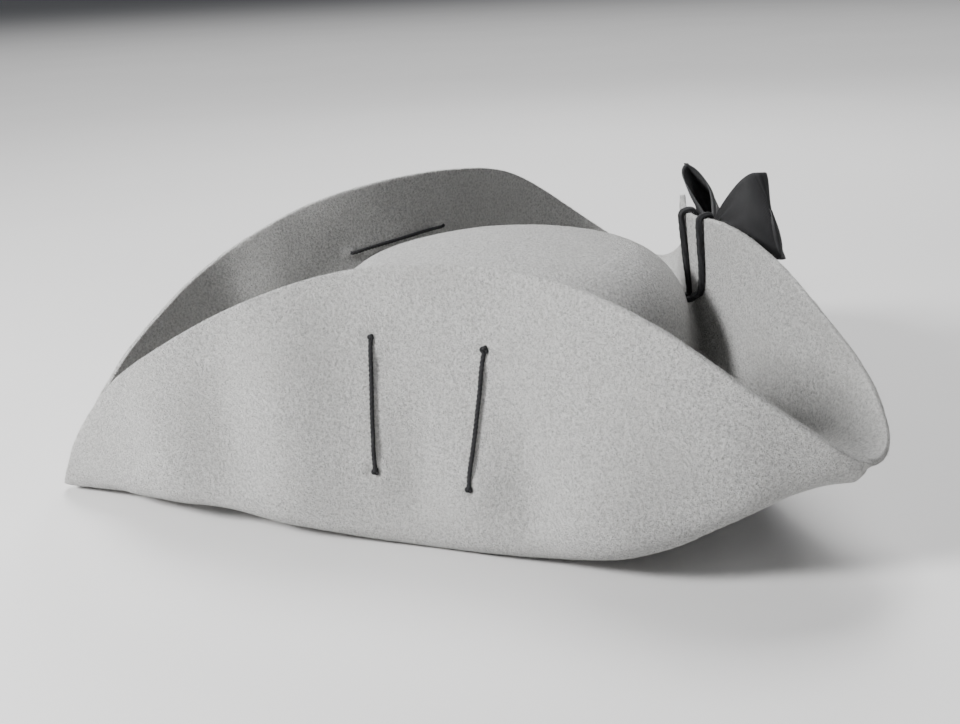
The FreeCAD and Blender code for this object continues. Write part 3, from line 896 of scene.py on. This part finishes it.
def bow_loop(node, body, hand, length, depth, end_half, tilt, yaw, roll, seed):
    """Loop of ribbon: out from the knot, round its open end and back, pleated at the knot."""
    steps, columns = 72, 19
    root = BOW_KNOT[0] / 2 - 1.0
    t = np.linspace(0, 1, steps)
    swing = 2 * np.pi * t
    outward_side = np.where(t < 0.5, 1.0, -1.0)
    out = root + (length - root) * (1 - np.cos(swing)) / 2
    gape = depth / 2 * np.sin(swing) * (0.35 + 0.65 * (1 - np.cos(swing)) / 2)
    gape += outward_side * (1 - np.abs(np.sin(swing / 2))) * 1.2
    middle = np.stack([out, gape, 0 * t], 1)
    share = ((out - root) / (length - root))[:, None]   # 0 at the knot, 1 at the open end
    half = PINCH_HALF + (end_half - PINCH_HALF) * share ** 0.8
    w = np.linspace(-1, 1, columns)
    pleat = np.cos(w * 3.5 * np.pi + seed)[None] * (1 - share) ** 1.3 * 1.3
    wave = np.sin(w * 2.2 + swing[:, None] * 1.5 + seed) * share * 1.6
    wander = np.array([[noise.noise(Vector((s * 3, v * 1.5, seed))) for v in w] for s in t]) * 1.4
    across = np.zeros((steps, columns, 3))
    across[..., 1] = (pleat + wave + wander) * outward_side[:, None]
    across[..., 1] *= np.sin(np.pi * t)[:, None] ** 0.3
    across[..., 2] = half * w[None]
    across[..., 0] = -(w[None] ** 2) * share * 1.8 + w[None] * share * 4.0
    across[..., 1] -= across[..., 2] * (np.sin(math.radians(roll)) * share ** 0.5)
    turn = Matrix.Rotation(math.radians(-tilt), 3, "Y") @ Matrix.Rotation(math.radians(yaw), 3, "Z")
    turn = np.array(turn)
    middle = (middle @ turn.T) * mirrored(hand) + BOW
    across = (across @ turn.T) * mirrored(hand)
    piece, run, area = ribbon_sheet(node + "_ribbon", middle, across)
    declare_ribbon(piece, body, node)


def bow_tail(node, body, hand, splay, seed):
    """Loose end of the ribbon: hangs from the knot, opens out and ripples."""
    steps, columns = 44, 17
    t = np.linspace(0, 1, steps)
    low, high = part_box(node)
    top_y = (low[1] + high[1]) / 2 / MM
    start = np.array([TAIL_X * hand, top_y, BOW[2] - BOW_KNOT[2] / 2 - TAIL_GAP])
    lean = math.radians(splay)
    middle = start + np.stack([
        hand * math.sin(lean) * TAIL_DROP * t,
        1.2 * np.sin(t * 5 + seed) * t,
        -math.cos(lean) * TAIL_DROP * t,
    ], 1)
    half = TAIL_TOP_HALF + TAIL_SPREAD * t ** 0.75
    w = np.linspace(-1, 1, columns)
    across = np.zeros((steps, columns, 3))
    across[..., 0] = half[:, None] * w[None] * math.cos(lean)
    across[..., 2] = half[:, None] * w[None] * math.sin(lean) * hand
    across[..., 2] += w[None] * hand * (t[:, None] ** 6) * 7.0
    across[..., 1] = np.cos(w * 3.2 * np.pi + seed)[None] * (1 - t[:, None]) ** 1.2 * 0.8
    across[..., 1] += np.sin(w * 2.6 + 5 * t[:, None] + seed) * t[:, None] * 1.5
    piece, run, area = ribbon_sheet(node + "_ribbon", middle, across)
    declare_ribbon(piece, body, node)


# ---- sweatband ----
def sweatband():
    """Grosgrain ribbon inside the head opening."""
    columns, rows = 240, 10
    turns = np.linspace(0, 360, columns, endpoint=False)
    heights = np.linspace(BAND_BOTTOM, BAND_TOP, rows)
    t, z = np.meshgrid(turns, heights, indexing="ij")
    base = oval(t, z, FELT / 2 + BAND_GAP)
    inward = -outward(t)
    ease = noise_at(base, 30.0, 31) * 0.35 + 0.35
    outer = base + inward * ease[..., None]
    inner = base + inward * (ease + BAND_T)[..., None]
    grid = np.concatenate([outer, inner[:, ::-1]], 1)
    around = np.radians(turns) * BAND_MEAN_R
    up = np.concatenate([heights, heights[::-1]])
    uv = np.stack(np.broadcast_arrays(around[:, None], up[None]), -1).reshape(-1, 2)
    faces = quads(columns, 2 * rows, wrap_rows=True, wrap_columns=True, flip=True)
    band = make_mesh("sweatband_ribbon", grid.reshape(-1, 3), faces, BAND_LOOK, uv)
    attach(band, "hat")
    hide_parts("sweatband")


def sweatband_stitches():
    """Two rows of short stitches that sew the ribbon to the felt."""
    stitches = []
    inset = FELT / 2 + BAND_GAP + BAND_T + STITCH_OFF
    for turn in np.arange(0, 360, STITCH_STEP):
        for height in (BAND_BOTTOM + STITCH_INSET, BAND_TOP - STITCH_INSET):
            ends = oval(np.array([turn, turn + STITCH_TURN]), height, inset)
            line = ends[0] + (ends[1] - ends[0]) * np.linspace(0, 1, 5)[:, None]
            stitches.append(tube_part(line, STITCH_R, 6))
    thread = make_mesh("sweatband_stitches", *joined(stitches), SEAM_LOOK)
    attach(thread, "hat")


# ---- stage ----
def away_from_hat(azimuth, elevation):
    """Unit direction from the hat, azimuth 0 toward the front and 90 toward the wearer's left."""
    a, e = math.radians(azimuth), math.radians(elevation)
    return Vector((math.sin(a) * math.cos(e), -math.cos(a) * math.cos(e), math.sin(e)))


def floor():
    """Plain pale floor that runs out of sight."""
    half = 200000.0
    verts = [(-half, -half, 0), (half, -half, 0), (half, half, 0), (-half, half, 0)]
    ground = make_mesh("floor", verts, [(0, 1, 2, 3)], floor_material(), smooth=False)


def camera():
    """View from the wearer's left, a little above, aimed near the middle of the hat."""
    azimuth, elevation, roll = 84.29, 18.75, math.radians(-2.89)
    distance, lens = 0.6175, 43.8
    back = away_from_hat(azimuth, elevation)
    level_right = Vector((math.cos(math.radians(azimuth)), math.sin(math.radians(azimuth)), 0))
    level_up = back.cross(level_right)
    target = Vector((0, 0, 0.055)) - level_right * 0.01524 - level_up * 0.00376
    right = level_right * math.cos(roll) + level_up * math.sin(roll)
    up = -level_right * math.sin(roll) + level_up * math.cos(roll)
    aim = Matrix(((right.x, up.x, back.x), (right.y, up.y, back.y), (right.z, up.z, back.z)))
    data = bpy.data.cameras.new("camera")
    data.lens = lens
    data.sensor_width = 36.0
    data.clip_start = 0.01
    cam = bpy.data.objects.new("camera", data)
    cam.matrix_world = Matrix.Translation(target + back * distance) @ aim.to_4x4()
    bpy.context.scene.collection.objects.link(cam)
    bpy.context.scene.camera = cam


def area_light(name, azimuth, elevation, distance, size, power):
    """Square lamp aimed at the middle of the hat."""
    back = away_from_hat(azimuth, elevation)
    data = bpy.data.lights.new(name, "AREA")
    data.shape = "SQUARE"
    data.size = size
    data.energy = power
    lamp = bpy.data.objects.new(name, data)
    lamp.location = Vector((0, 0, 0.06)) + back * distance
    lamp.rotation_mode = "QUATERNION"
    lamp.rotation_quaternion = back.to_track_quat("Z", "Y")
    bpy.context.scene.collection.objects.link(lamp)


def lights():
    """A key from the front, a soft fill, a rim from the far side and a wash over the floor."""
    area_light("key", azimuth=22, elevation=30, distance=1.5, size=0.3, power=38)
    area_light("fill", azimuth=95, elevation=50, distance=1.8, size=0.9, power=3)
    area_light("rim", azimuth=250, elevation=42, distance=1.6, size=0.6, power=10)
    area_light("wash", azimuth=270, elevation=70, distance=7.0, size=3.0, power=420)
    world = bpy.data.worlds.new("studio")
    world.use_nodes = True
    sky = world.node_tree.nodes["Background"]
    sky.inputs["Color"].default_value = (0.9, 0.93, 1.0, 1)
    sky.inputs["Strength"].default_value = 0.10
    bpy.context.scene.world = world


turns_used, rim_points, rim_out = felt_body()
felt_fuzz(turns_used, rim_points, rim_out)
side_lace("left_lace", 1)
side_lace("right_lace", -1)
back_tie()
bow_knot()
bow_loop(
    "bow_loop_left", "loop_left", hand=1, length=60.0, depth=15.0, end_half=20.5,
    tilt=19.0, yaw=12.0, roll=19.0, seed=1.0,
)
bow_loop(
    "bow_loop_right", "loop_right", hand=-1, length=46.0, depth=14.0, end_half=19.0,
    tilt=13.0, yaw=12.0, roll=36.0, seed=4.0,
)
bow_tail("bow_tail_left", "tail_left", hand=1, splay=13.0, seed=0.6)
bow_tail("bow_tail_right", "tail_right", hand=-1, splay=13.0, seed=2.9)
sweatband()
sweatband_stitches()
floor()
lights()
camera()
